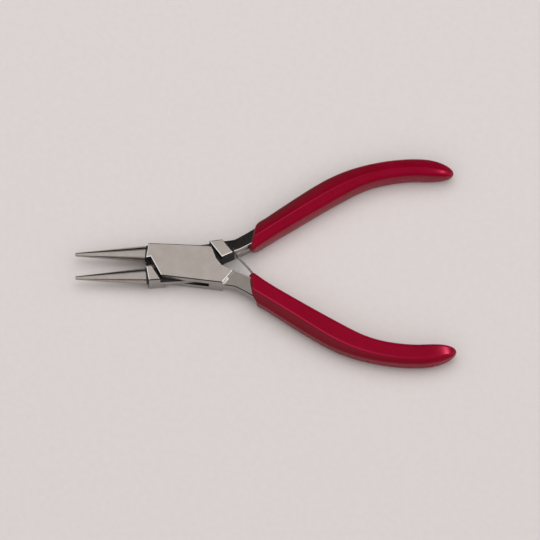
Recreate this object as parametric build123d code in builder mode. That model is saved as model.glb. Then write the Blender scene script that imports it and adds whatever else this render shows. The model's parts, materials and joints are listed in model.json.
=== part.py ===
from build123d import *

import os
from math import atan2, cos, degrees, radians, sin, sqrt

# Round nose pliers with a box joint, in millimetres.
# The pivot axis is Z. The jaws point towards -X and the handles towards +X.
# Z = 0 is the ground underside of the joint. Each half is drawn in its closed
# position, on a plane that is then turned open by half the opening angle.
# side is +1 for a jaw or a handle above the X axis and -1 for one below it.

half_opening = 5.65

# Joint
joint_thickness = 6.8
mid_z = joint_thickness / 2
tongue_thickness = 2.2
tongue_play = 0.06
tongue_radius = 10.4
slot_radius = 10.6
pin_radius = 2.0
pin_play = 0.04
edge_break = 0.2

# Outer edge of the closed joint: a straight line that widens towards the handles
edge_at_pivot = 6.2
edge_slope = 0.042
jaw_root_x = -13.3
corner_x = -12.95
head_outer_x = 12.9
head_inner_x = 16.2

# The gap between the two halves at the middle, and the shoulders across the joint
half_gap = 0.25
jaw_shoulder_inner_x = -11.5
jaw_shoulder_outer_x = -9.0
head_shoulder_inner_x = 12.25
head_shoulder_outer_x = 8.67
lower_shoulder_shift = 1.5
step_margin = 0.7

# Inner edge of a handle's steel: a straight line away from the crotch
inner_edge_x = 12.8
inner_edge_y = 0.5
inner_edge_slope = 0.354

# Jaws
jaw_length = 23.9
jaw_root_radius = 2.76
jaw_root_rise = 0.5
jaw_tip_radius = 0.6
jaw_tip_round = 0.35
jaw_gap = 0.06
jaw_sink = 0.6

# Handles: the middle line of a closed handle, and the steel's size along it
handle_line = [
    (13.0, 3.0),
    (22.0, 6.5),
    (32.7, 11.9),
    (46.8, 19.4),
    (60.8, 25.2),
    (74.4, 27.0),
    (84.5, 26.1),
    (93.2, 23.5),
]
handle_bevel = 1.8
bevel_start_inner_x = 16.7
bevel_start_outer = (13.5, 6.8)
bevel_start_drop = 1.7
steel_stations = [
    (0.062, 4.75, 6.8),
    (0.13, 4.95, 6.8),
    (0.22, 5.6, 6.1),
    (0.42, 6.2, 5.6),
    (0.62, 5.2, 5.2),
    (0.80, 4.6, 4.8),
    (0.93, 3.4, 3.6),
]

# Grips: a soft sleeve over each handle. A station is a fraction of the middle
# line, the grip's reach inwards and outwards from it, and its height
grip_stations = [
    (0.06, 4.8, 4.0, 7.3),
    (0.10, 4.8, 4.0, 7.4),
    (0.13, 4.4, 3.9, 7.5),
    (0.17, 3.95, 3.8, 7.5),
    (0.26, 3.9, 3.9, 7.5),
    (0.40, 4.2, 4.2, 7.5),
    (0.52, 4.25, 4.25, 7.5),
    (0.64, 3.75, 3.75, 7.4),
    (0.76, 3.5, 3.5, 7.3),
    (0.88, 3.4, 3.4, 7.1),
]
grip_dome_steps = [0.35, 0.6, 0.8, 0.93]
grip_corner_share = 0.15
grip_flat_share = 0.6
grip_bevel_share = 0.22

# The mouth of a closed grip, from the inner side to the outer side
grip_mouth = [(22.9, 0.0), (22.9, 1.5), (22.0, 3.2), (22.8, 8.0), (23.3, 10.0), (25.0, 12.3), (25.0, 16.0)]
grip_mouth_cut_x = 12.0

# Leaf spring: a foot riveted to the inner half's handle, and a blade that
# crosses to the other handle and slides along its grip
spring_thickness = 0.4
spring_width = 1.8
spring_bend_x = 17.6
spring_foot_end_x = 25.5
blade_length = 8.2
blade_angle = -50.3
blade_gap = 0.16
blade_back = 0.24
rivet_x = 23.6
rivet_shank_radius = 0.6
rivet_head_radius = 1.1
rivet_head_height = 0.4
rivet_depth = 2.5

os.makedirs("parts", exist_ok=True)

outer_plane = Plane.XY.rotated((0, 0, -half_opening))
inner_plane = Plane.XY.rotated((0, 0, half_opening))
lower_face_z = mid_z - tongue_thickness / 2


def edge_y(x):
    """Distance of the closed joint's outer edge from the X axis."""
    return edge_at_pivot + edge_slope * x


def inner_edge(x):
    """Distance of a closed handle's inner edge from the X axis."""
    return inner_edge_y + inner_edge_slope * (x - inner_edge_x)


def outline(plane, points, side):
    """A face with straight sides through the points, mirrored for side -1."""
    with BuildSketch(plane) as face:
        with BuildLine():
            Polyline([(x, side * y) for x, y in points], close=True)
        make_face()
    return face.sketch


def cone_jaw(half_plane, side):
    """A round jaw that tapers and dips a little to its tip, from just inside the joint."""
    slope = (jaw_root_radius - jaw_tip_radius) / jaw_length
    tip_x = jaw_root_x - sqrt(jaw_length**2 - (slope * jaw_length) ** 2)
    root_y = side * (jaw_root_radius + jaw_gap)
    tip_y = side * (jaw_tip_radius + jaw_gap)
    root = half_plane.from_local_coords(Vector(jaw_root_x, root_y, mid_z + jaw_root_rise))
    tip = half_plane.from_local_coords(Vector(tip_x, tip_y, mid_z))
    root_plane = Plane(origin=root, z_dir=tip - root)
    with BuildPart() as jaw:
        with BuildSketch(root_plane.offset(-jaw_sink)):
            Circle(jaw_root_radius + slope * jaw_sink)
        with BuildSketch(root_plane.offset((tip - root).length)):
            Circle(jaw_tip_radius)
        loft()
        tip_edge = jaw.edges().filter_by(GeomType.CIRCLE).sort_by(SortBy.RADIUS)[0]
        fillet(tip_edge, jaw_tip_round)
    return jaw.part


def handle_curve():
    """The middle line of a closed handle above the X axis."""
    with BuildLine() as line:
        Spline(*handle_line)
    return line.line


middle_line = handle_curve()


def station_plane(half_plane, side, fraction):
    """A plane across the handle, with x pointing away from the other handle."""
    point = middle_line @ fraction
    direction = middle_line % fraction
    origin = half_plane.from_local_coords(Vector(point.X, side * point.Y, mid_z))
    outward = Vector(-side * direction.Y, direction.X, 0) * side
    forward = Vector(direction.X, side * direction.Y, 0)
    turn = Plane((0, 0, 0), x_dir=half_plane.x_dir, z_dir=half_plane.z_dir)
    return Plane(origin, x_dir=turn.from_local_coords(outward), z_dir=turn.from_local_coords(forward))


def steel_section(plane, width, height, drop):
    """A handle's section: full height inside, lower towards the outside."""
    half_width = width / 2
    half_height = height / 2
    with BuildSketch(plane) as section:
        with BuildLine():
            Polyline(
                (-half_width, -half_height),
                (half_width, -half_height + drop),
                (half_width, half_height - drop),
                (-half_width, half_height),
                close=True,
            )
        make_face()
    return section.sketch


def grip_section(plane, inner, outer, height):
    """A grip's section: a flat top and underside, bevelled towards the outside."""
    width = inner + outer
    half_height = height / 2
    flat_end = width * grip_flat_share - inner
    drop = height * grip_bevel_share
    with BuildSketch(plane) as section:
        with BuildLine():
            Polyline(
                (-inner, -half_height),
                (flat_end, -half_height),
                (outer, -half_height + drop),
                (outer, half_height - drop),
                (flat_end, half_height),
                (-inner, half_height),
                close=True,
            )
        make_face()
        fillet(section.vertices(), width * grip_corner_share)
    return section.sketch


def crossing_section(half_plane, side, inner, outer, drop):
    """A handle's full-height section between a point on its inner edge and one on its outer edge."""
    start = half_plane.from_local_coords(Vector(inner[0], side * inner[1], mid_z))
    finish = half_plane.from_local_coords(Vector(outer[0], side * outer[1], mid_z))
    across = finish - start
    plane = Plane((start + finish) * 0.5, x_dir=across, z_dir=across.cross(Vector(0, 0, -side)))
    return steel_section(plane, across.length, joint_thickness, drop)


def steel_arm(half_plane, side):
    """A handle's steel from the joint's head to its end inside the grip."""
    head_inner = (head_inner_x, inner_edge(head_inner_x))
    head_outer = (head_outer_x, edge_y(head_outer_x))
    bevel_inner = (bevel_start_inner_x, inner_edge(bevel_start_inner_x))
    head_face = crossing_section(half_plane, side, head_inner, head_outer, edge_break)
    step_face = crossing_section(half_plane, side, bevel_inner, bevel_start_outer, bevel_start_drop)
    sections = []
    for fraction, width, height in steel_stations:
        drop = handle_bevel * height / joint_thickness
        plane = station_plane(half_plane, side, fraction)
        sections.append(steel_section(plane, width, height, drop))
    with BuildPart() as arm:
        loft(sections=[head_face, step_face], ruled=True)
        loft(sections=[step_face, sections[0]], ruled=True)
        loft(sections=sections)
    return arm.part


def grip_body(half_plane, side):
    """The outside of a grip: a sleeve with a slanted mouth that ends in a dome."""
    sections = []
    for fraction, inner, outer, height in grip_stations:
        sections.append(grip_section(station_plane(half_plane, side, fraction), inner, outer, height))
    last_fraction, last_inner, last_outer, last_height = grip_stations[-1]
    dome_share = 1 - last_fraction
    for step in grip_dome_steps:
        shrink = sqrt(1 - step**2)
        plane = station_plane(half_plane, side, last_fraction + dome_share * step)
        sections.append(grip_section(plane, last_inner * shrink, last_outer * shrink, last_height * shrink))
    mouth_cut = grip_mouth + [(grip_mouth_cut_x, grip_mouth[-1][1]), (grip_mouth_cut_x, grip_mouth[0][1])]
    with BuildPart() as body:
        loft(sections=sections)
        cut_face = outline(half_plane.offset(mid_z), mouth_cut, side)
        extrude(cut_face, amount=joint_thickness, both=True, mode=Mode.SUBTRACT)
    return body.part


def jaw_root_outline(shift):
    """The block at the root of a jaw, up to its slanted shoulder."""
    outer_x = jaw_shoulder_outer_x + shift
    return [
        (jaw_root_x, half_gap),
        (corner_x, edge_y(corner_x)),
        (outer_x, edge_y(outer_x)),
        (jaw_shoulder_inner_x + shift, half_gap),
    ]


head_outline = [
    (head_shoulder_inner_x, inner_edge(head_shoulder_inner_x)),
    (head_inner_x, inner_edge(head_inner_x)),
    (head_outer_x, edge_y(head_outer_x)),
    (head_shoulder_outer_x, edge_y(head_shoulder_outer_x)),
]

# The cheeks of the outer half in the half's own closed position, with its jaw
# above the X axis and its handle below
cheek_jaw_corner = (-11.75, 0.7)
cheek_lower_corner = (-7.65, -edge_y(-7.65))
cheek_outline = [
    (jaw_root_x, half_gap),
    (corner_x, edge_y(corner_x)),
    (7.3, edge_y(7.3)),
    (8.1, edge_y(8.1) - 0.35),
    (8.8, 5.0),
    (10.1, 2.2),
    (12.2, -0.15),
    (head_inner_x, -inner_edge(head_inner_x)),
    (head_outer_x, -edge_y(head_outer_x)),
    cheek_lower_corner,
    cheek_jaw_corner,
]

outer_jaw = cone_jaw(outer_plane, 1)
inner_jaw = cone_jaw(inner_plane, -1)
lower_arm = steel_arm(outer_plane, -1)
upper_arm = steel_arm(inner_plane, 1)

# Leaf spring: both strips stand on edge, centred on the joint's thickness
spring_base = inner_plane.offset(mid_z - spring_width / 2)
bend = Vector(spring_bend_x, inner_edge(spring_bend_x), 0)
foot_angle = degrees(atan2(inner_edge_slope, 1))
foot_length = (spring_foot_end_x - spring_bend_x) / cos(radians(foot_angle))

# A rivet under the grip holds the spring's foot to the handle
rivet_normal = Vector(sin(radians(foot_angle)), -cos(radians(foot_angle)), 0)
rivet_point = Vector(rivet_x, inner_edge(rivet_x), mid_z)
rivet_origin = inner_plane.from_local_coords(rivet_point)
rivet_axis = inner_plane.from_local_coords(rivet_point + rivet_normal) - rivet_origin
rivet_plane = Plane(rivet_origin, z_dir=rivet_axis)
with BuildPart() as spring_rivet:
    with BuildSketch(rivet_plane.offset(-rivet_depth)):
        Circle(rivet_shank_radius)
    extrude(amount=rivet_depth + spring_thickness)
    with BuildSketch(rivet_plane.offset(spring_thickness)):
        Circle(rivet_head_radius)
    extrude(amount=rivet_head_height)
spring_rivet.part.label = "spring_rivet"
export_step(spring_rivet.part, "parts/spring_rivet.step")

with BuildPart() as spring_foot:
    with BuildSketch(spring_base):
        with Locations(Location(bend, (0, 0, foot_angle))):
            Rectangle(foot_length, spring_thickness, align=(Align.MIN, Align.MAX))
    extrude(amount=spring_width)
    add(spring_rivet.part, mode=Mode.SUBTRACT)
spring_foot.part.label = "spring_foot"
export_step(spring_foot.part, "parts/spring_foot.step")

blade_root = Vector(bend.X - blade_back, bend.Y - spring_thickness - blade_gap, 0)
with BuildPart() as spring_blade:
    with BuildSketch(spring_base):
        with Locations(Location(blade_root, (0, 0, blade_angle - half_opening))):
            Rectangle(blade_length, spring_thickness, align=(Align.MIN, Align.CENTER))
    extrude(amount=spring_width)
spring_blade.part.label = "spring_blade"
export_step(spring_blade.part, "parts/spring_blade.step")

# The room that the tongue needs inside the outer half
slot_reach = 15.0
with BuildSketch(outer_plane.offset(lower_face_z)) as slot_plan:
    Circle(slot_radius)
    with Locations((-slot_reach / 2, half_gap - slot_reach / 2)):
        Rectangle(slot_reach, slot_reach)
    with Locations((slot_reach / 2, slot_reach / 2 - half_gap)):
        Rectangle(slot_reach, slot_reach)

# The lower cheek stands back from the longer lower shoulder
step_end_y = cheek_lower_corner[1] - step_margin
lower_step = outline(
    outer_plane,
    [
        cheek_jaw_corner,
        (cheek_jaw_corner[0] + lower_shoulder_shift, cheek_jaw_corner[1]),
        (cheek_lower_corner[0] + lower_shoulder_shift, step_end_y),
        (cheek_lower_corner[0] - step_margin, step_end_y),
    ],
    1,
)

with BuildPart() as outer_half:
    extrude(outline(outer_plane, cheek_outline, 1), amount=joint_thickness)
    chamfer(outer_half.edges().group_by(Axis.Z)[-1], edge_break)
    chamfer(outer_half.edges().group_by(Axis.Z)[0], edge_break)
    extrude(slot_plan.sketch, amount=tongue_thickness, mode=Mode.SUBTRACT)
    extrude(lower_step, amount=lower_face_z, mode=Mode.SUBTRACT)
    add(outer_jaw)
    add(lower_arm)
    with BuildSketch(Plane.XY):
        Circle(pin_radius)
    extrude(amount=joint_thickness, mode=Mode.SUBTRACT)
outer_half.part.label = "outer_half"
export_step(outer_half.part, "parts/outer_half.step")

# The tongue: a disc between the cheeks, joined to the jaw root and to the head
strip_outline = [
    (-slot_reach, edge_y(-slot_reach)),
    (slot_reach, edge_y(slot_reach)),
    (slot_reach, -edge_y(slot_reach)),
    (-slot_reach, -edge_y(-slot_reach)),
]
tongue_base = inner_plane.offset(lower_face_z + tongue_play)
with BuildSketch(tongue_base) as tongue_plan:
    Circle(tongue_radius)
    add(outline(Plane.XY, strip_outline, 1), mode=Mode.INTERSECT)
    with BuildLine():
        Polyline(
            (0, -half_gap),
            (jaw_shoulder_inner_x, -half_gap),
            (jaw_shoulder_outer_x, -edge_y(jaw_shoulder_outer_x)),
            (0, -edge_y(0)),
            close=True,
        )
    make_face()
    with BuildLine():
        Polyline(
            (0, half_gap),
            head_outline[0],
            head_outline[3],
            (0, edge_y(0)),
            close=True,
        )
    make_face()

with BuildPart() as inner_half:
    extrude(outline(inner_plane, jaw_root_outline(0), -1), amount=joint_thickness)
    extrude(outline(inner_plane, head_outline, 1), amount=joint_thickness)
    chamfer(inner_half.edges().group_by(Axis.Z)[-1], edge_break)
    chamfer(inner_half.edges().group_by(Axis.Z)[0], edge_break)
    extrude(outline(inner_plane, jaw_root_outline(lower_shoulder_shift), -1), amount=lower_face_z)
    extrude(tongue_plan.sketch, amount=tongue_thickness - 2 * tongue_play)
    add(inner_jaw)
    add(upper_arm)
    with BuildSketch(Plane.XY):
        Circle(pin_radius + pin_play)
    extrude(amount=joint_thickness, mode=Mode.SUBTRACT)
    add(spring_foot.part, mode=Mode.SUBTRACT)
    add(spring_rivet.part, mode=Mode.SUBTRACT)
inner_half.part.label = "inner_half"
export_step(inner_half.part, "parts/inner_half.step")

with BuildPart() as pivot_pin:
    with BuildSketch(Plane.XY):
        Circle(pin_radius)
    extrude(amount=joint_thickness)
pivot_pin.part.label = "pivot_pin"
export_step(pivot_pin.part, "parts/pivot_pin.step")

with BuildPart() as upper_grip:
    add(grip_body(inner_plane, 1))
    add(upper_arm, mode=Mode.SUBTRACT)
    add(spring_foot.part, mode=Mode.SUBTRACT)
    add(spring_rivet.part, mode=Mode.SUBTRACT)
upper_grip.part.label = "upper_grip"
export_step(upper_grip.part, "parts/upper_grip.step")

with BuildPart() as lower_grip:
    add(grip_body(outer_plane, -1))
    add(lower_arm, mode=Mode.SUBTRACT)
lower_grip.part.label = "lower_grip"
export_step(lower_grip.part, "parts/lower_grip.step")
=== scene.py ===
import json
import math

import bmesh
import bpy
import numpy as np
from mathutils import Matrix, Vector


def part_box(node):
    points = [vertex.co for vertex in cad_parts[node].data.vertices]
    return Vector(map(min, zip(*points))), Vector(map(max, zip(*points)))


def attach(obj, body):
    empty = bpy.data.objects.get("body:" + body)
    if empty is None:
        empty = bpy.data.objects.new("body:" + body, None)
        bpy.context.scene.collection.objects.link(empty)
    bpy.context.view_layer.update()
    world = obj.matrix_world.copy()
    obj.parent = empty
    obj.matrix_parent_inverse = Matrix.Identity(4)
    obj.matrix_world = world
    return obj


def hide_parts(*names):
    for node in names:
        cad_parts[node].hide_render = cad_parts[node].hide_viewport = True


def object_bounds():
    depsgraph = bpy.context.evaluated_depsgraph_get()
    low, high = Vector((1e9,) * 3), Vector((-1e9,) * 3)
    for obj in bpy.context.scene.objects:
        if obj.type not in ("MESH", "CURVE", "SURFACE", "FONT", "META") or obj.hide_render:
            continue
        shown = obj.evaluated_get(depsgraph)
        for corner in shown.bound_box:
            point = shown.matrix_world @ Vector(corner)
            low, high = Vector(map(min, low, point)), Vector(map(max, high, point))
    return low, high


# Round nose pliers with a box joint. The pivot axis is Z, the jaws point
# towards -X and the handles towards +X. All lengths are in metres.
# Curves are drawn with the tool closed, and each half is then turned open.

MM = 0.001

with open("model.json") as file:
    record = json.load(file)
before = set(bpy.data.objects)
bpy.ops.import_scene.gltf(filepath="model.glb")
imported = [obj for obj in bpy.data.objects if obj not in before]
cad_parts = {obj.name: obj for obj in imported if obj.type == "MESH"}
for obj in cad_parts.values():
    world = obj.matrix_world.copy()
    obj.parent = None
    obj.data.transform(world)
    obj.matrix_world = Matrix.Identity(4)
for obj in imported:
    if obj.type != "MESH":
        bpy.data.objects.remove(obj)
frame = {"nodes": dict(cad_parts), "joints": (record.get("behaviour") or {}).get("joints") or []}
cad_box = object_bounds()
joints = {joint["name"]: joint for joint in frame["joints"]}
HALF_OPENING = math.radians(-joints["jaw_hinge"]["range_deg"][0] / 2)
HALF_TURN = {"outer_half": -HALF_OPENING, "inner_half": HALF_OPENING}
# The side of the X axis that each half's handle is on
HALF_SIDE = {"outer_half": -1, "inner_half": 1}

# Joint and jaws
JOINT_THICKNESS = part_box("pivot_pin")[1].z
MID_Z = JOINT_THICKNESS / 2
PIN_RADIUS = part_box("pivot_pin")[1].x
JAW_ROOT_X = -13.3 * MM
# Width of the ring of painted shade round each jaw's root
PAINTED_NECK_SHADE_WIDTH = 0.4 * MM
# How far edges are rounded over on the handles, and the share of that on the joint
HANDLE_ROUND = 0.25 * MM
JOINT_ROUND_SHARE = 0.4
# The head's end line on a closed handle, the step behind it, and the share of the step from its outer
# end that has a painted highlight
HEAD_INNER = np.array((16.2, 1.7)) * MM
HEAD_OUTER = np.array((12.9, 6.74)) * MM
STEP_LENGTH = 0.62 * MM
STEP_PAINTED_HIGHLIGHT_SHARE = 0.45

# Outer edge of the closed joint, and the inner edge of a closed handle
EDGE_AT_PIVOT = 6.2 * MM
EDGE_SLOPE = 0.042
INNER_EDGE_X = 12.8 * MM
INNER_EDGE_Y = 0.5 * MM
INNER_EDGE_SLOPE = 0.354

# Middle line of a closed handle above the X axis
HANDLE_LINE = [
    (13.0, 3.0), (22.0, 6.5), (32.7, 11.9), (46.8, 19.4),
    (60.8, 25.2), (74.4, 27.0), (84.5, 26.1), (93.2, 23.5),
]

# Grip stations: distance along the middle line as a share, the reach inwards
# and outwards from it, and the height
GRIP_STATIONS = [
    (0.06, 4.8, 4.0, 7.3),
    (0.10, 4.8, 4.0, 7.4),
    (0.13, 4.4, 3.9, 7.5),
    (0.17, 3.95, 3.8, 7.5),
    (0.26, 3.9, 3.9, 7.5),
    (0.40, 4.2, 4.2, 7.5),
    (0.52, 4.25, 4.25, 7.5),
    (0.64, 3.75, 3.75, 7.4),
    (0.76, 3.5, 3.5, 7.3),
    (0.88, 3.4, 3.4, 7.1),
]
# The mouth of each closed grip from its inner to its outer side
MOUTH_LINE = {
    "inner_half": [
        (22.5, 1.5), (22.2, 3.1), (22.9, 5.5), (23.5, 8.4), (23.9, 10.0), (24.4, 11.2), (25.2, 12.2),
    ],
    "outer_half": [
        (22.5, 1.2), (21.8, 3.3), (22.3, 6.0), (22.5, 8.2), (22.8, 9.8), (23.4, 11.0), (24.4, 12.0),
    ],
}
# Sections slant like the mouth until this far behind it, and more so on the underside
MOUTH_FADE = 12 * MM
UNDERSIDE_SLANT = 0.8
# The mouth's lip, and how far its inner side leans, which fades out along the grip
LIP_ROUND = 1.3 * MM
LIP_LEAN = 0.6 * MM
LIP_LEAN_FADE = 0.04
# The domed end, between two shares of the handle's length
DOME_SHARE = 0.87
DOME_END = 0.9955
DOME_POWER = 2.0
# The flat's share of the grip's width at two shares of its length
GRIP_FLAT_AT = (0.35, 0.8)
GRIP_FLAT_SHARE = {"inner_half": (0.43, 0.40), "outer_half": (0.66, 0.80)}
GRIP_BEVEL_SHARE = 0.24
# Painted shade on the bevels at places round the section, and how it and the ridges' painted highlight
# fade along the grip
PAINTED_BEVEL_SHADE_AT = {
    "inner_half": ([14.5, 18, 32, 35.5], [0.0, 1.0, 1.0, 0.0]),
    "outer_half": ([13.5, 15, 18, 25, 32, 35, 36.5], [0.0, 1.0, 0.7, 0.4, 0.7, 1.0, 0.0]),
}
PAINTED_SHADING_FADE = {"inner_half": (0.35, 0.70), "outer_half": (0.5, 0.85)}
PAINTED_SHADING_LEFT = 0.15

# Leaf spring
LEAF_THICKNESS = 0.4 * MM
LEAF_WIDTH = 1.8 * MM
LEAF_ROUND = 0.12 * MM
LEAF_LENGTH = 8.2 * MM
LEAF_ANGLE = math.radians(-50.3)
FOOT_END_X = 25.5 * MM
FOOT_BEND_RADIUS = 0.21 * MM
FOOT_STEPS = 6
BLADE_STEPS = 8

# Camera
CAMERA_ELEVATION = 65.0
CAMERA_AZIMUTH = -0.59
CAMERA_DISTANCE = 6.0
FRAME_WIDTH = 180.5 * MM
SENSOR_WIDTH = 36.0
AIM_FROM_CENTRE = Vector((1.6, -2.0, 0.0)) * MM


# ---------------------------------------------------------------- curves

def natural_spline(knots, values):
    """A smooth curve through the values at the knots, as a function of one number or an array."""
    x = np.array(knots, float)
    y = np.array(values, float).reshape(len(x), -1)
    gap = np.diff(x)
    count = len(x)
    matrix = np.eye(count)
    right = np.zeros_like(y)
    for i in range(1, count - 1):
        matrix[i, i - 1 : i + 2] = gap[i - 1], 2 * (gap[i - 1] + gap[i]), gap[i]
        right[i] = 6 * ((y[i + 1] - y[i]) / gap[i] - (y[i] - y[i - 1]) / gap[i - 1])
    bend = np.linalg.solve(matrix, right)

    def at(t):
        t = np.atleast_1d(np.asarray(t, float))
        i = np.clip(np.searchsorted(x, t) - 1, 0, count - 2)
        h = gap[i][:, None]
        a = ((x[i + 1] - t) / gap[i])[:, None]
        b = ((t - x[i]) / gap[i])[:, None]
        curve = (a**3 - a) * bend[i] + (b**3 - b) * bend[i + 1]
        return a * y[i] + b * y[i + 1] + curve * h**2 / 6

    return at


def distances_along(line):
    """How far along a line of points each of them is."""
    return np.concatenate(([0], np.cumsum(np.linalg.norm(np.diff(line, axis=0), axis=1))))


def directions(line):
    """The unit direction of a line of points at each of them."""
    tangent = np.gradient(line, axis=0)
    return tangent / np.linalg.norm(tangent, axis=1)[:, None]


PATH_SAMPLES = 800
KNOT_EVERY = 8


def handle_path():
    """The closed handle's middle line, as a function of the share of its length, and that length."""
    points = np.array(HANDLE_LINE) * MM
    chord = distances_along(points)
    samples = natural_spline(chord, points)(np.linspace(0, chord[-1], PATH_SAMPLES))
    run = distances_along(samples)
    return natural_spline(run[::KNOT_EVERY] / run[-1], samples[::KNOT_EVERY]), run[-1]


HANDLE_AT, HANDLE_LENGTH = handle_path()
STATION_SHARES = [row[0] for row in GRIP_STATIONS]
GRIP_INNER, GRIP_OUTER, GRIP_HEIGHT = (
    natural_spline(STATION_SHARES, [row[column] * MM for row in GRIP_STATIONS]) for column in (1, 2, 3)
)
# The shares of the handle's length among which a mouth is looked for
MOUTH_SEARCH = np.linspace(0.02, 0.3, 561)


def mouth_shares(mouth):
    """Where along the handle a mouth lies, by the distance outwards from the middle line."""
    line = HANDLE_AT(MOUTH_SEARCH)
    tangent = directions(line)
    knots = []
    for point in np.array(mouth) * MM:
        nearest = int(np.argmin(np.linalg.norm(line - point, axis=1)))
        away = point - line[nearest]
        outward = away[1] * tangent[nearest, 0] - away[0] * tangent[nearest, 1]
        knots.append((outward, MOUTH_SEARCH[nearest]))
    curve = natural_spline([knot[0] for knot in knots], [knot[1] for knot in knots])
    return lambda away: curve(np.clip(away, knots[0][0], knots[-1][0]))[:, 0]


MOUTH_AT = {half: mouth_shares(mouth) for half, mouth in MOUTH_LINE.items()}
MOUTH_SHARE = {half: float(at(np.zeros(1))[0]) for half, at in MOUTH_AT.items()}


def opened(points, half):
    """Points drawn for a closed half above the X axis, put on the half's side and turned open."""
    points = np.array(points, float)
    cosine, sine = math.cos(HALF_TURN[half]), math.sin(HALF_TURN[half])
    x, y = points[:, 0], points[:, 1] * HALF_SIDE[half]
    turned = np.stack((x * cosine - y * sine, x * sine + y * cosine), 1)
    return np.concatenate((turned, points[:, 2:]), 1)


# ---------------------------------------------------------------- meshes

def new_object(name, verts, faces, flip=False):
    """A mesh object with smooth faces."""
    if flip:
        faces = [tuple(reversed(face)) for face in faces]
    mesh = bpy.data.meshes.new(name)
    mesh.from_pydata([tuple(v) for v in verts], [], faces)
    mesh.validate()
    mesh.polygons.foreach_set("use_smooth", [True] * len(mesh.polygons))
    mesh.update()
    piece = bpy.data.objects.new(name, mesh)
    bpy.context.scene.collection.objects.link(piece)
    return piece


# The share of a side that the corner at one of its ends may take up
CORNER_REACH = 0.46


def rounded_outline(corners, radii, arc_steps, side_steps, crowns):
    """A closed outline with rounded corners and crowned sides. The steps set its number of points."""
    count = len(corners)
    arcs = []
    for i in range(count):
        corner = np.array(corners[i], float)
        back = np.array(corners[i - 1], float) - corner
        ahead = np.array(corners[(i + 1) % count], float) - corner
        back_length, ahead_length = np.linalg.norm(back), np.linalg.norm(ahead)
        back, ahead = back / back_length, ahead / ahead_length
        half_angle = math.acos(np.clip(back @ ahead, -1, 1)) / 2
        reach = min(radii[i] / math.tan(half_angle), CORNER_REACH * min(back_length, ahead_length))
        radius = reach * math.tan(half_angle)
        middle = back + ahead
        centre = corner + middle / np.linalg.norm(middle) * radius / math.sin(half_angle)
        start, end = corner + back * reach - centre, corner + ahead * reach - centre
        sweep = math.pi - 2 * half_angle
        arc = []
        for k in range(arc_steps + 1):
            t = k / arc_steps
            turned = math.sin((1 - t) * sweep) * start + math.sin(t * sweep) * end
            arc.append(centre + turned / math.sin(sweep))
        arcs.append(arc)
    outline = []
    for i in range(count):
        outline.extend(arcs[i])
        start, end = arcs[i][-1], arcs[(i + 1) % count][0]
        along = end - start
        outward = np.array((along[1], -along[0])) / max(np.linalg.norm(along), 1e-9)
        for k in range(1, side_steps):
            t = k / side_steps
            outline.append(start + along * t + outward * crowns[i] * 4 * t * (1 - t))
    return np.array(outline)


def ring_faces(rings, points):
    """Faces between rings of points, one ring after the other."""
    faces = []
    for r in range(rings - 1):
        for p in range(points):
            a = r * points + p
            b = r * points + (p + 1) % points
            faces.append((a, b, b + points, a + points))
    return faces


# ---------------------------------------------------------------- grips

ARC_STEPS = 5
SIDE_STEPS = 4
LIP_STEPS = 7
BODY_STEPS = 64
DOME_STEPS = 14
# The first ring, inside the mouth
INSIDE_DEPTH = 1.2 * MM
INSIDE_INSET = 2.1 * MM
# The lip rolls round from inside the mouth, by shares of half a turn
LIP_START = 0.22
LIP_SWEEP = 0.72
# Corners: lower inner, lower ridge, lower outer, upper outer, upper ridge, upper inner
GRIP_RADII = [2.0 * MM, 1.1 * MM, 1.5 * MM, 1.5 * MM, 1.1 * MM, 1.3 * MM]
GRIP_CROWNS = [0.0, 0.08 * MM, 0.0, 0.08 * MM, 0.0, 0.15 * MM]
LOW_RIDGE, TOP_RIDGE = 1, 4
SMALLEST_RADIUS = 0.2 * MM
# Keeps the grips a hair inside the CAD box
HEIGHT_TRIM = 0.999
# How far the painted highlight along a ridge spreads round the section, and how far along the grip the
# lip's painted shade reaches
PAINTED_HIGHLIGHT_SPREAD = 0.45 * ARC_STEPS
PAINTED_LIP_SHADE_REACH = 1.2 * LIP_ROUND


def grip_outline(half, share, scale, inset):
    """The grip's section at a share of the handle's length, scaled, and then inset all round."""
    inner = float(GRIP_INNER(share)[0, 0]) * scale - inset
    outer = float(GRIP_OUTER(share)[0, 0]) * scale - inset
    half_height = float(GRIP_HEIGHT(share)[0, 0]) / 2 * HEIGHT_TRIM * scale - inset
    flat_end = (inner + outer) * float(np.interp(share, GRIP_FLAT_AT, GRIP_FLAT_SHARE[half])) - inner
    drop = 2 * half_height * GRIP_BEVEL_SHARE
    from_mouth = max(share - MOUTH_SHARE[half], 0)
    lean = LIP_LEAN * math.exp(-from_mouth / LIP_LEAN_FADE) * max(1 - inset / LIP_ROUND, 0)
    corners = [
        (-inner + lean, -half_height),
        (flat_end, -half_height),
        (outer, -half_height + drop),
        (outer, half_height - drop),
        (flat_end, half_height),
        (-inner - lean, half_height),
    ]
    radii = [max(radius * scale - inset / 2, SMALLEST_RADIUS) for radius in GRIP_RADII]
    crowns = [crown * scale for crown in GRIP_CROWNS]
    return rounded_outline(corners, radii, ARC_STEPS, SIDE_STEPS, crowns)


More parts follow.
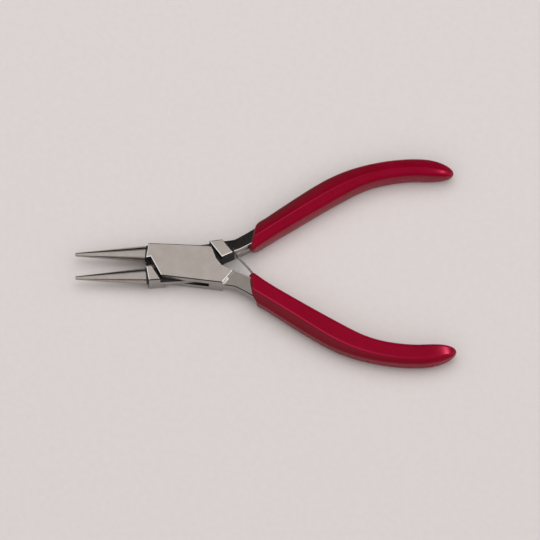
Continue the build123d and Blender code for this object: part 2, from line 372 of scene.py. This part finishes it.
def grip_rings(mouth_share):
    """Share of length, scale and inset of each ring, from inside the mouth to the end of the dome."""
    rings = [(mouth_share + INSIDE_DEPTH / HANDLE_LENGTH, 1.0, INSIDE_INSET)]
    for k in range(LIP_STEPS + 1):
        angle = math.pi * (LIP_SWEEP * k / LIP_STEPS - LIP_START)
        along = LIP_ROUND * (1 - math.cos(angle))
        inset = LIP_ROUND * (1 - math.sin(angle))
        rings.append((mouth_share + along / HANDLE_LENGTH, 1.0, inset))
    first = rings[-1][0]
    for k in range(1, BODY_STEPS + 1):
        rings.append((first + (DOME_SHARE - first) * k / BODY_STEPS, 1.0, 0.0))
    for k in range(1, DOME_STEPS):
        t = math.sin(math.pi / 2 * k / DOME_STEPS)
        scale = (1 - t**DOME_POWER) ** (1 / DOME_POWER)
        rings.append((DOME_SHARE + (DOME_END - DOME_SHARE) * t, scale, 0.0))
    return rings


def place_ring(half, share, outline, slant_by):
    """Points of a ring in the closed handle's frame. Near the mouth the ring slants outwards."""
    fade = 1 - min(max((share - MOUTH_SHARE[half]) * HANDLE_LENGTH / MOUTH_FADE, 0), 1)
    fade = fade * fade * (3 - 2 * fade)
    slant_at = slant_by[:, 0] + UNDERSIDE_SLANT * np.maximum(-slant_by[:, 1], 0)
    shares = share + (MOUTH_AT[half](slant_at) - MOUTH_SHARE[half]) * fade
    centre = HANDLE_AT(shares)
    step = 1e-4
    tangent = HANDLE_AT(shares + step) - HANDLE_AT(shares - step)
    tangent /= np.linalg.norm(tangent, axis=1)[:, None]
    outward = np.stack((-tangent[:, 1], tangent[:, 0]), 1)
    flat = centre + outward * outline[:, :1]
    return np.concatenate((flat, outline[:, 1:] + MID_Z), 1)


def grip(name, node, half):
    """A dipped grip with a rolled lip at its mouth and a domed end, with amounts of painted highlight
    and painted shade on its points.
    """
    verts, painted_ridge_highlight, painted_bevel_shade = [], [], []
    section_points = ARC_STEPS + SIDE_STEPS
    points = 6 * section_points
    ridges = [corner * section_points + ARC_STEPS / 2 for corner in (LOW_RIDGE, TOP_RIDGE)]
    for share, scale, inset in grip_rings(MOUTH_SHARE[half]):
        station = min(share, STATION_SHARES[-1])
        outline = grip_outline(half, station, scale, inset)
        ring = place_ring(half, share, outline, grip_outline(half, station, scale, 0.0))
        verts.extend(opened(ring, half))
        # Painted shade on the lip near the mouth
        painted_lip_shade = min(max(1 - (share - MOUTH_SHARE[half]) * HANDLE_LENGTH / PAINTED_LIP_SHADE_REACH, 0), 1)
        # The bevels get painted shade and the ridges a painted highlight, both fading along the grip
        strength = float(np.interp(share, PAINTED_SHADING_FADE[half], (1.0, PAINTED_SHADING_LEFT)))
        for p in range(points):
            from_ridge = min(abs(p - middle) for middle in ridges)
            painted_ridge_highlight.append(max(0.0, 1 - from_ridge / PAINTED_HIGHLIGHT_SPREAD) * strength)
            painted_bevel_shade.append(max(float(np.interp(p, *PAINTED_BEVEL_SHADE_AT[half])) * strength, painted_lip_shade))
    rings = len(verts) // points
    faces = ring_faces(rings, points)
    tip = HANDLE_AT(DOME_END)[0]
    verts.extend(opened([(tip[0], tip[1], MID_Z)], half))
    painted_ridge_highlight.append(0.0)
    painted_bevel_shade.append(0.0)
    last = (rings - 1) * points
    faces.extend((last + p, last + (p + 1) % points, rings * points) for p in range(points))
    piece = new_object(name, verts, faces, flip=HALF_SIDE[half] < 0)
    for label, values in (("painted_ridge_highlight", painted_ridge_highlight), ("painted_bevel_shade", painted_bevel_shade)):
        attribute = piece.data.attributes.new(label, "FLOAT", "POINT")
        attribute.data.foreach_set("value", np.array(values, np.float32))
    smooth = piece.modifiers.new("smooth", "SUBSURF")
    smooth.levels = smooth.render_levels = 1
    piece.data.materials.append(MATERIALS["grip"])
    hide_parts(node)
    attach(piece, half)
    return piece


# ---------------------------------------------------------------- steel

# Two finishes are painted light: a near-black steel is painted shade in the joint's gaps, at the jaws'
# roots and along outer edges, and a near-white rough steel is a painted highlight on the step behind
# the head
STEEL_FINISHES = ["ground", "turned", "forged", "side", "painted_shade", "edge", "painted_highlight", "blended"]
HEAD_LINE = (HEAD_OUTER - HEAD_INNER) / np.linalg.norm(HEAD_OUTER - HEAD_INNER)
HEAD_WIDTH = HEAD_OUTER[1] - HEAD_INNER[1]
# How deep the chamfers round a cheek reach, down its side and in from the joint's edge
CHAMFER = 0.3 * MM
# A face this far past the root's plane is on the jaw
ROOT_MARGIN = 0.02 * MM
# An edge this near the step belongs to it, and past the brink it is shaded smooth
STEP_MARGIN = 0.05 * MM
STEP_BRINK = 0.1 * MM
# An edge this far from a handle's inner edge is an outer edge
OUTER_EDGE_FROM = 1 * MM
# An edge within this share of the pin's radius is in its bore
BORE_SHARE = 1.1
# How far up a face looks if it is on a handle's top, the step, a cheek, or a cheek's flat
TOP_UP, STEP_UP, CHEEK_UP, FLAT_UP = 0.3, 0.1, 0.5, 0.9995
# CAD faces are joined below the first angle, shaded smooth below the second, and
# rounded over above the third
SAME_FACE_ANGLE = math.radians(0.4)
SOFT_ANGLE = math.radians(30)
ROUNDED_ANGLE = math.radians(22)
SAME_POINT = 1e-7


def past_head_line(x, y):
    """How far behind the head's end line a point of a closed handle is."""
    return (x - HEAD_INNER[0]) * HEAD_LINE[1] - (abs(y) - HEAD_INNER[1]) * HEAD_LINE[0]


def in_step(x, y, up):
    """Whether a face of a closed half is on the step behind the head."""
    return 0 < past_head_line(x, y) < STEP_LENGTH and abs(up) > STEP_UP


def steel_finish(x, y, z, up):
    """The finish of a face of a closed half, from its place and how far it faces up. Some finishes are
    painted shade or a painted highlight.
    """
    from_edge = EDGE_AT_PIVOT + EDGE_SLOPE * x - abs(y)
    on_cheek = (z > JOINT_THICKNESS - CHAMFER or z < CHAMFER) and abs(up) > CHEEK_UP
    # Faces on the jaw are turned, but for a thin ring of painted shade at its root
    if x < JAW_ROOT_X - ROOT_MARGIN:
        return "turned" if x < JAW_ROOT_X - PAINTED_NECK_SHADE_WIDTH else "painted_shade"
    if past_head_line(x, y) > STEP_LENGTH:
        return "forged" if abs(up) > TOP_UP else "side"
    # On the tongued half the step is painted shade; on the slotted half its outer share is a painted
    # highlight, and the rest a rough blend
    if in_step(x, y, up):
        if y > 0:
            return "painted_shade"
        return "painted_highlight" if from_edge < STEP_PAINTED_HIGHLIGHT_SHARE * HEAD_WIDTH else "blended"
    if on_cheek and abs(up) > FLAT_UP:
        return "ground"
    # Chamfers along the joint's outer edge and the faces inside the joint are painted shade; other
    # chamfers on the cheeks are polished
    if from_edge < CHAMFER:
        return "painted_shade" if on_cheek else "side"
    return "edge" if on_cheek else "painted_shade"


def cut_faces(work, is_cut, at, across):
    """Cut the faces that pass a test in two, along a plane."""
    faces = [face for face in work.faces if is_cut(face)]
    edges = [edge for edge in work.edges if any(is_cut(face) for face in edge.link_faces)]
    bmesh.ops.bisect_plane(work, geom=faces + edges, plane_co=at, plane_no=across)


def finish_edge(edge, half, closed, bright, painted_shade_layer):
    """Set an edge's rounding, in the layer for bright edges or for edges of painted shade, and its
    shading.
    """
    middle = (edge.verts[0].co + edge.verts[1].co) / 2
    in_bore = math.hypot(middle.x, middle.y) < PIN_RADIUS * BORE_SHARE
    place = closed @ middle
    past_head = past_head_line(place.x, place.y)
    at_step = -STEP_MARGIN < past_head < STEP_LENGTH + STEP_MARGIN
    finishes = {STEEL_FINISHES[face.material_index] for face in edge.link_faces}
    angle = edge.calc_face_angle()
    sharp = angle > ROUNDED_ANGLE and edge.is_convex
    rounded = sharp and not in_bore and not at_step and finishes != {"painted_shade"}
    if rounded:
        on_handle = past_head > STEP_LENGTH
        from_inside = abs(place.y) - INNER_EDGE_Y - INNER_EDGE_SLOPE * (place.x - INNER_EDGE_X)
        # Outer edges of the slotted half's handle, and edges beside painted shade, get a strip of
        # painted shade
        if on_handle:
            gets_painted_shade = half == "outer_half" and from_inside > OUTER_EDGE_FROM
        else:
            gets_painted_shade = "painted_shade" in finishes
        edge[painted_shade_layer if gets_painted_shade else bright] = 1.0 if on_handle else JOINT_ROUND_SHARE
    behind_head = at_step and past_head > STEP_BRINK
    soft = angle < SOFT_ANGLE and not ("ground" in finishes and len(finishes) > 1)
    edge.smooth = rounded or behind_head or soft


def steel_half(name, half):
    """One half of the tool, from its CAD body, with its outward edges rounded over."""
    work = bmesh.new()
    work.from_mesh(frame["nodes"][half].data)
    bmesh.ops.remove_doubles(work, verts=work.verts, dist=SAME_POINT)
    bmesh.ops.dissolve_limit(work, angle_limit=SAME_FACE_ANGLE, verts=work.verts, edges=work.edges)
    closed = Matrix.Rotation(-HALF_TURN[half], 4, "Z")
    to_open = closed.inverted()
    split = HEAD_OUTER + (HEAD_INNER - HEAD_OUTER) * STEP_PAINTED_HIGHLIGHT_SHARE
    cut_faces(
        work,
        lambda face: in_step(*(closed @ face.calc_center_median()).xy, face.normal.z),
        to_open @ Vector((split[0], split[1] * HALF_SIDE[half], 0)),
        to_open @ Vector((HEAD_LINE[0], HEAD_LINE[1] * HALF_SIDE[half], 0)),
    )
    cut_faces(
        work,
        lambda face: (closed @ face.calc_center_median()).x < JAW_ROOT_X,
        to_open @ Vector((JAW_ROOT_X - PAINTED_NECK_SHADE_WIDTH, 0, 0)),
        to_open @ Vector((1, 0, 0)),
    )
    for face in work.faces:
        centre = closed @ face.calc_center_median()
        face.material_index = STEEL_FINISHES.index(steel_finish(*centre, face.normal.z))
        face.smooth = True
    bright = work.edges.layers.float.new("bright_edge")
    painted_shade_layer = work.edges.layers.float.new("dark_edge")
    for edge in work.edges:
        if len(edge.link_faces) == 2:
            finish_edge(edge, half, closed, bright, painted_shade_layer)
    mesh = bpy.data.meshes.new(name)
    work.to_mesh(mesh)
    work.free()
    piece = bpy.data.objects.new(name, mesh)
    bpy.context.scene.collection.objects.link(piece)
    for material in STEEL_FINISHES:
        mesh.materials.append(MATERIALS[material])
    # Rounded edges get a polished strip, or a strip of painted shade
    for label, finish in (("dark_edge", "painted_shade"), ("bright_edge", "edge")):
        rounding = piece.modifiers.new(label, "BEVEL")
        rounding.limit_method = "WEIGHT"
        rounding.edge_weight = label
        rounding.width = HANDLE_ROUND
        rounding.material = STEEL_FINISHES.index(finish)
        rounding.segments = 2
        rounding.use_clamp_overlap = False
    flat = piece.modifiers.new("flat_faces", "WEIGHTED_NORMAL")
    flat.weight = 100
    flat.keep_sharp = True
    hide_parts(half)
    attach(piece, half)


def strip(name, path, node, body):
    """A leaf of spring steel that stands on edge and follows a path beside the closed upper handle."""
    path = opened(path, "inner_half")
    tangent = directions(path)
    across = np.stack((-tangent[:, 1], tangent[:, 0]), 1)
    half_thickness, half_width = LEAF_THICKNESS / 2, LEAF_WIDTH / 2
    corners = [
        (-half_thickness, -half_width),
        (half_thickness, -half_width),
        (half_thickness, half_width),
        (-half_thickness, half_width),
    ]
    outline = rounded_outline(corners, [LEAF_ROUND] * 4, arc_steps=3, side_steps=3, crowns=[0.0] * 4)
    points = len(outline)
    verts = []
    for centre, side in zip(path, across):
        flat = centre + outline[:, :1] * side
        verts.extend(np.concatenate((flat, outline[:, 1:] + MID_Z), 1))
    faces = ring_faces(len(path), points)
    faces.append(tuple(reversed(range(points))))
    faces.append(tuple(range((len(path) - 1) * points, len(path) * points)))
    piece = new_object(name, verts, faces)
    piece.data.materials.append(MATERIALS["spring"])
    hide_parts(node)
    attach(piece, body)


def leaf():
    """The leaf: a foot along the handle, which turns round at its bend, and a blade across the gap."""
    slope = math.atan(INNER_EDGE_SLOPE)
    handle = np.array((math.cos(slope), math.sin(slope)))
    inwards = np.array((handle[1], -handle[0]))
    heading = LEAF_ANGLE - HALF_OPENING
    blade = np.array((math.cos(heading), math.sin(heading)))
    pivot = np.array(joints["blade_swing"]["pos_m"][:2])
    # The blade's root, turned back to the closed tool
    cosine, sine = math.cos(HALF_OPENING), math.sin(HALF_OPENING)
    root = np.array((pivot[0] * cosine + pivot[1] * sine, pivot[1] * cosine - pivot[0] * sine))
    end_y = INNER_EDGE_Y + INNER_EDGE_SLOPE * (FOOT_END_X - INNER_EDGE_X)
    foot_end = np.array((FOOT_END_X, end_y)) + inwards * LEAF_THICKNESS / 2
    sweep = math.pi + heading - slope
    centre = root + FOOT_BEND_RADIUS * np.array((-blade[1], blade[0]))
    start = foot_end + handle * ((centre - foot_end) @ handle)
    foot = [foot_end + (start - foot_end) * k / FOOT_STEPS for k in range(FOOT_STEPS)]
    for k in range(FOOT_STEPS + 1):
        angle = slope + math.pi / 2 + sweep * k / FOOT_STEPS
        foot.append(centre + FOOT_BEND_RADIUS * np.array((math.cos(angle), math.sin(angle))))
    strip("spring_leaf_foot", foot, "spring_foot", "inner_half")
    line = [root + blade * LEAF_LENGTH * k / BLADE_STEPS for k in range(BLADE_STEPS + 1)]
    strip("spring_leaf_blade", line, "spring_blade", "spring_blade")


# ---------------------------------------------------------------- materials

# Noise lies mostly between these
NOISE_LOW, NOISE_HIGH = 0.3, 0.7
SCRATCH_DEPTH = 0.02 * MM
PEEL_DEPTH = 0.05 * MM
# Linear colours: the grips' two base tones, the painted highlight along their ridges and its amount,
# the painted shade on their bevels, and the floor's two tones
GRIP_TONES = ((0.185, 0.0, 0.010), (0.225, 0.0, 0.015))
PAINTED_RIDGE_HIGHLIGHT = (0.50, 0.04, 0.09)
PAINTED_HIGHLIGHT_AMOUNT = 0.6
PAINTED_BEVEL_SHADE_TONE = (0.125, 0.014, 0.018)
FLOOR_TONES = ((0.648, 0.602, 0.590), (0.666, 0.620, 0.608))


def material_nodes(name):
    """A new material, its node tree and its Principled shader."""
    material = bpy.data.materials.new(name)
    material.use_nodes = True
    tree = material.node_tree
    return material, tree, tree.nodes["Principled BSDF"]


def noise_node(tree, scale, detail, stretch=(1, 1, 1), roughness=0.5):
    """Noise over the object's own coordinates, stretched along the axes."""
    place = tree.nodes.new("ShaderNodeTexCoord")
    mapping = tree.nodes.new("ShaderNodeMapping")
    mapping.inputs["Scale"].default_value = stretch
    texture = tree.nodes.new("ShaderNodeTexNoise")
    texture.inputs["Scale"].default_value = scale
    texture.inputs["Detail"].default_value = detail
    texture.inputs["Roughness"].default_value = roughness
    tree.links.new(place.outputs["Object"], mapping.inputs["Vector"])
    tree.links.new(mapping.outputs["Vector"], texture.inputs["Vector"])
    return texture


def ramp_node(tree, source, stops):
    """Colours at positions along a value."""
    ramp = tree.nodes.new("ShaderNodeValToRGB")
    elements = ramp.color_ramp.elements
    while len(elements) < len(stops):
        elements.new(0.5)
    for element, (position, colour) in zip(elements, stops):
        element.position = position
        element.color = (*colour, 1)
    tree.links.new(source, ramp.inputs["Fac"])
    return ramp


def between(tree, noise, low, high):
    """A colour that follows noise from one colour to another."""
    stops = [(NOISE_LOW, low), (NOISE_HIGH, high)]
    return ramp_node(tree, noise.outputs["Fac"], stops).outputs["Color"]


def bump_node(tree, height, strength, distance):
    """A bump of the surface from a height."""
    bump = tree.nodes.new("ShaderNodeBump")
    bump.inputs["Strength"].default_value = strength
    bump.inputs["Distance"].default_value = distance
    tree.links.new(height, bump.inputs["Height"])
    return bump


def attribute_node(tree, label):
    """The value of a point attribute."""
    attribute = tree.nodes.new("ShaderNodeAttribute")
    attribute.attribute_name = label
    return attribute


def blend_node(tree, amount, source, colour):
    """A source colour that gives way to another colour by an amount."""
    blend = tree.nodes.new("ShaderNodeMix")
    blend.data_type = "RGBA"
    blend.inputs["B"].default_value = (*colour, 1)
    tree.links.new(amount, blend.inputs["Factor"])
    tree.links.new(source, blend.inputs["A"])
    return blend


def grey(value, warm=0.0):
    """A grey, a little warmer or cooler."""
    return (value * (1 + warm), value, value * (1 - 0.6 * warm))


def steel(name, tone, warm, roughness, stretch, scratch, line_scale):
    """Worked steel: lines left by the tool, fine mottling, and a finish that varies a little."""
    material, tree, shader = material_nodes(name)
    shader.inputs["Metallic"].default_value = 1.0
    mottle = noise_node(tree, 260, 6, roughness=0.6)
    colour = between(tree, mottle, grey(tone * 0.9, warm), grey(tone * 1.06, warm))
    tree.links.new(colour, shader.inputs["Base Color"])
    lines = noise_node(tree, line_scale, 4, stretch, 0.65)
    low, high = roughness
    tree.links.new(between(tree, lines, grey(low), grey(high)), shader.inputs["Roughness"])
    bump = bump_node(tree, lines.outputs["Fac"], scratch, SCRATCH_DEPTH)
    tree.links.new(bump.outputs["Normal"], shader.inputs["Normal"])
    return material


def grip_material():
    """Dipped vinyl, deep red, with a faint orange peel, a painted highlight along the ridges and
    painted shade on the bevels and lip.
    """
    material, tree, shader = material_nodes("dipped_vinyl")
    base = between(tree, noise_node(tree, 90, 4), *GRIP_TONES)
    amount = tree.nodes.new("ShaderNodeMath")
    amount.operation = "MULTIPLY"
    amount.inputs[1].default_value = PAINTED_HIGHLIGHT_AMOUNT
    tree.links.new(attribute_node(tree, "painted_ridge_highlight").outputs["Fac"], amount.inputs[0])
    # A painted highlight along the ridges
    with_painted_highlight = blend_node(tree, amount.outputs["Value"], base, PAINTED_RIDGE_HIGHLIGHT)
    # Painted shade on the bevels and the lip
    painted_shade_at = attribute_node(tree, "painted_bevel_shade").outputs["Fac"]
    with_painted_shade = blend_node(tree, painted_shade_at, with_painted_highlight.outputs["Result"], PAINTED_BEVEL_SHADE_TONE)
    tree.links.new(with_painted_shade.outputs["Result"], shader.inputs["Base Color"])
    handled = noise_node(tree, 160, 5)
    finish = ramp_node(tree, handled.outputs["Fac"], [(0.3, grey(0.24)), (0.75, grey(0.36))])
    tree.links.new(finish.outputs["Color"], shader.inputs["Roughness"])
    shader.inputs["Specular IOR Level"].default_value = 0.3
    shader.inputs["Specular Tint"].default_value = (1.0, 0.04, 0.15, 1)
    shader.inputs["Coat Weight"].default_value = 0.05
    shader.inputs["Coat Roughness"].default_value = 0.04
    peel = noise_node(tree, 700, 3)
    bump = bump_node(tree, peel.outputs["Fac"], 0.12, PEEL_DEPTH)
    tree.links.new(bump.outputs["Normal"], shader.inputs["Normal"])
    return material


def floor_material():
    """Pale card."""
    material, tree, shader = material_nodes("pale_card")
    colour = between(tree, noise_node(tree, 500, 5), *FLOOR_TONES)
    tree.links.new(colour, shader.inputs["Base Color"])
    shader.inputs["Roughness"].default_value = 0.9
    shader.inputs["Specular IOR Level"].default_value = 0.1
    return material


# Each steel has its name, tone, warmth, range of roughness, and the stretch, strength and
# scale of the lines that its tool left
MATERIALS = {
    "ground": steel("ground_steel", 0.46, 0.13, (0.28, 0.36), (1, 6, 1), 0.25, 900),
    "turned": steel("turned_steel", 0.37, 0.12, (0.14, 0.22), (8, 1, 1), 0.2, 700),
    "forged": steel("forged_steel", 0.235, 0.13, (0.16, 0.26), (1, 4, 4), 0.3, 500),
    "side": steel("milled_steel", 0.39, 0.07, (0.25, 0.35), (1, 1, 5), 0.3, 600),
    "edge": steel("polished_edge", 0.92, 0.05, (0.20, 0.26), (2, 2, 2), 0.1, 600),
    "blended": steel("blended_steel", 0.36, 0.10, (0.60, 0.70), (2, 2, 2), 0.1, 600),
    # Painted highlight: a near-white rough steel for the outer part of the step
    "painted_highlight": steel("painted_highlight_steel", 0.97, 0.02, (0.60, 0.70), (2, 2, 2), 0.1, 600),
    # Painted shade: a near-black steel for the joint's gaps, the jaws' roots and outer edges
    "painted_shade": steel("painted_shade_steel", 0.05, -0.02, (0.4, 0.55), (1, 4, 4), 0.3, 500),
    "spring": steel("spring_steel", 0.38, 0.05, (0.22, 0.32), (1, 1, 8), 0.2, 600),
    "grip": grip_material(),
    "floor": floor_material(),
}


# ---------------------------------------------------------------- stage

def make_camera():
    """A long lens above the front of the tool."""
    low, high = cad_box
    aim = (low + high) / 2 + AIM_FROM_CENTRE
    azimuth, elevation = math.radians(CAMERA_AZIMUTH), math.radians(CAMERA_ELEVATION)
    back = Vector((
        math.sin(azimuth) * math.cos(elevation),
        -math.cos(azimuth) * math.cos(elevation),
        math.sin(elevation),
    ))
    data = bpy.data.cameras.new("camera")
    data.sensor_width = SENSOR_WIDTH
    data.lens = SENSOR_WIDTH * CAMERA_DISTANCE / FRAME_WIDTH
    data.clip_start, data.clip_end = 0.01, 20
    camera = bpy.data.objects.new("camera", data)
    camera.location = aim + back * CAMERA_DISTANCE
    camera.rotation_mode = "QUATERNION"
    camera.rotation_quaternion = (-back).to_track_quat("-Z", "Y")
    bpy.context.scene.collection.objects.link(camera)
    bpy.context.scene.camera = camera


def area_light(name, azimuth, elevation, distance, size, watts):
    """A soft square light that faces the joint from a direction."""
    a, e = math.radians(azimuth), math.radians(elevation)
    towards = Vector((math.sin(a) * math.cos(e), math.cos(a) * math.cos(e), math.sin(e)))
    data = bpy.data.lights.new(name, "AREA")
    data.size = size
    data.energy = watts
    light = bpy.data.objects.new(name, data)
    light.location = towards * distance
    light.rotation_mode = "QUATERNION"
    light.rotation_quaternion = towards.to_track_quat("Z", "Y")
    bpy.context.scene.collection.objects.link(light)
    return light


# The studio's brightness by height, from the front (0) to behind the tool (1), and the
# window's by how far to the right it is
BY_HEIGHT = [(0.0, grey(0.08)), (0.12, grey(0.10)), (0.4, grey(0.9)), (0.6, grey(1.0))]
BY_DEPTH = [
    (0.0, grey(1.0, 0.01)), (0.5, grey(0.92, 0.01)), (0.72, grey(0.92, 0.01)),
    (0.82, grey(0.36)), (0.92, grey(0.06)),
]
WINDOW_BY_SIDE = [(0.78, grey(0.0)), (0.92, grey(1.0))]
WINDOW_STRENGTH = 1.6


def vector_node(tree, operation, *sources):
    """A calculation on vectors."""
    node = tree.nodes.new("ShaderNodeVectorMath")
    node.operation = operation
    for source, socket in zip(sources, node.inputs):
        tree.links.new(source, socket)
    return node


def make_world():
    """A studio that is dark near the horizon and behind the tool, with a window to its right."""
    world = bpy.data.worlds.new("studio")
    bpy.context.scene.world = world
    world.use_nodes = True
    tree = world.node_tree
    background = tree.nodes["Background"]
    place = tree.nodes.new("ShaderNodeTexCoord")
    split = tree.nodes.new("ShaderNodeSeparateXYZ")
    tree.links.new(place.outputs["Generated"], split.inputs["Vector"])
    height = ramp_node(tree, split.outputs["Z"], BY_HEIGHT)
    depth = tree.nodes.new("ShaderNodeMapRange")
    depth.inputs["From Min"].default_value = -1
    tree.links.new(split.outputs["Y"], depth.inputs["Value"])
    front = ramp_node(tree, depth.outputs["Result"], BY_DEPTH)
    sky = vector_node(tree, "MULTIPLY", height.outputs["Color"], front.outputs["Color"])
    side = ramp_node(tree, split.outputs["X"], WINDOW_BY_SIDE)
    window = vector_node(tree, "SCALE", side.outputs["Color"])
    window.inputs["Scale"].default_value = WINDOW_STRENGTH
    light = vector_node(tree, "ADD", sky.outputs["Vector"], window.outputs["Vector"])
    tree.links.new(light.outputs["Vector"], background.inputs["Color"])


def make_floor():
    """A wide pale floor just under the grips."""
    size, cells = 1.5, 8
    z = cad_box[0].z
    steps = np.linspace(-size, size, cells + 1)
    verts = [(x, y, z) for y in steps for x in steps]
    faces = []
    for row in range(cells):
        for column in range(cells):
            a = row * (cells + 1) + column
            faces.append((a, a + 1, a + cells + 2, a + cells + 1))
    floor = new_object("floor", verts, faces)
    floor.data.materials.append(MATERIALS["floor"])


# ---------------------------------------------------------------- the tool

make_camera()
make_world()
key = area_light("key", azimuth=10, elevation=65, distance=1.3, size=1.3, watts=6)
key.visible_glossy = False
# A small light for the bright spots at the ends of the grips only
spark = area_light("spark", azimuth=54, elevation=44, distance=1.0, size=0.06, watts=7)
spark.visible_diffuse = False
spark.light_linking.receiver_collection = bpy.data.collections.new("lit_by_spark")
make_floor()

steel_half("slotted_half", "outer_half")
steel_half("tongued_half", "inner_half")
for piece in (
    grip("grip_on_tongued_half", "upper_grip", "inner_half"),
    grip("grip_on_slotted_half", "lower_grip", "outer_half"),
):
    spark.light_linking.receiver_collection.objects.link(piece)
leaf()
for node in ("pivot_pin", "spring_rivet"):
    for slot in frame["nodes"][node].material_slots:
        slot.material = MATERIALS["ground"]

bpy.context.scene.view_settings.view_transform = "Standard"
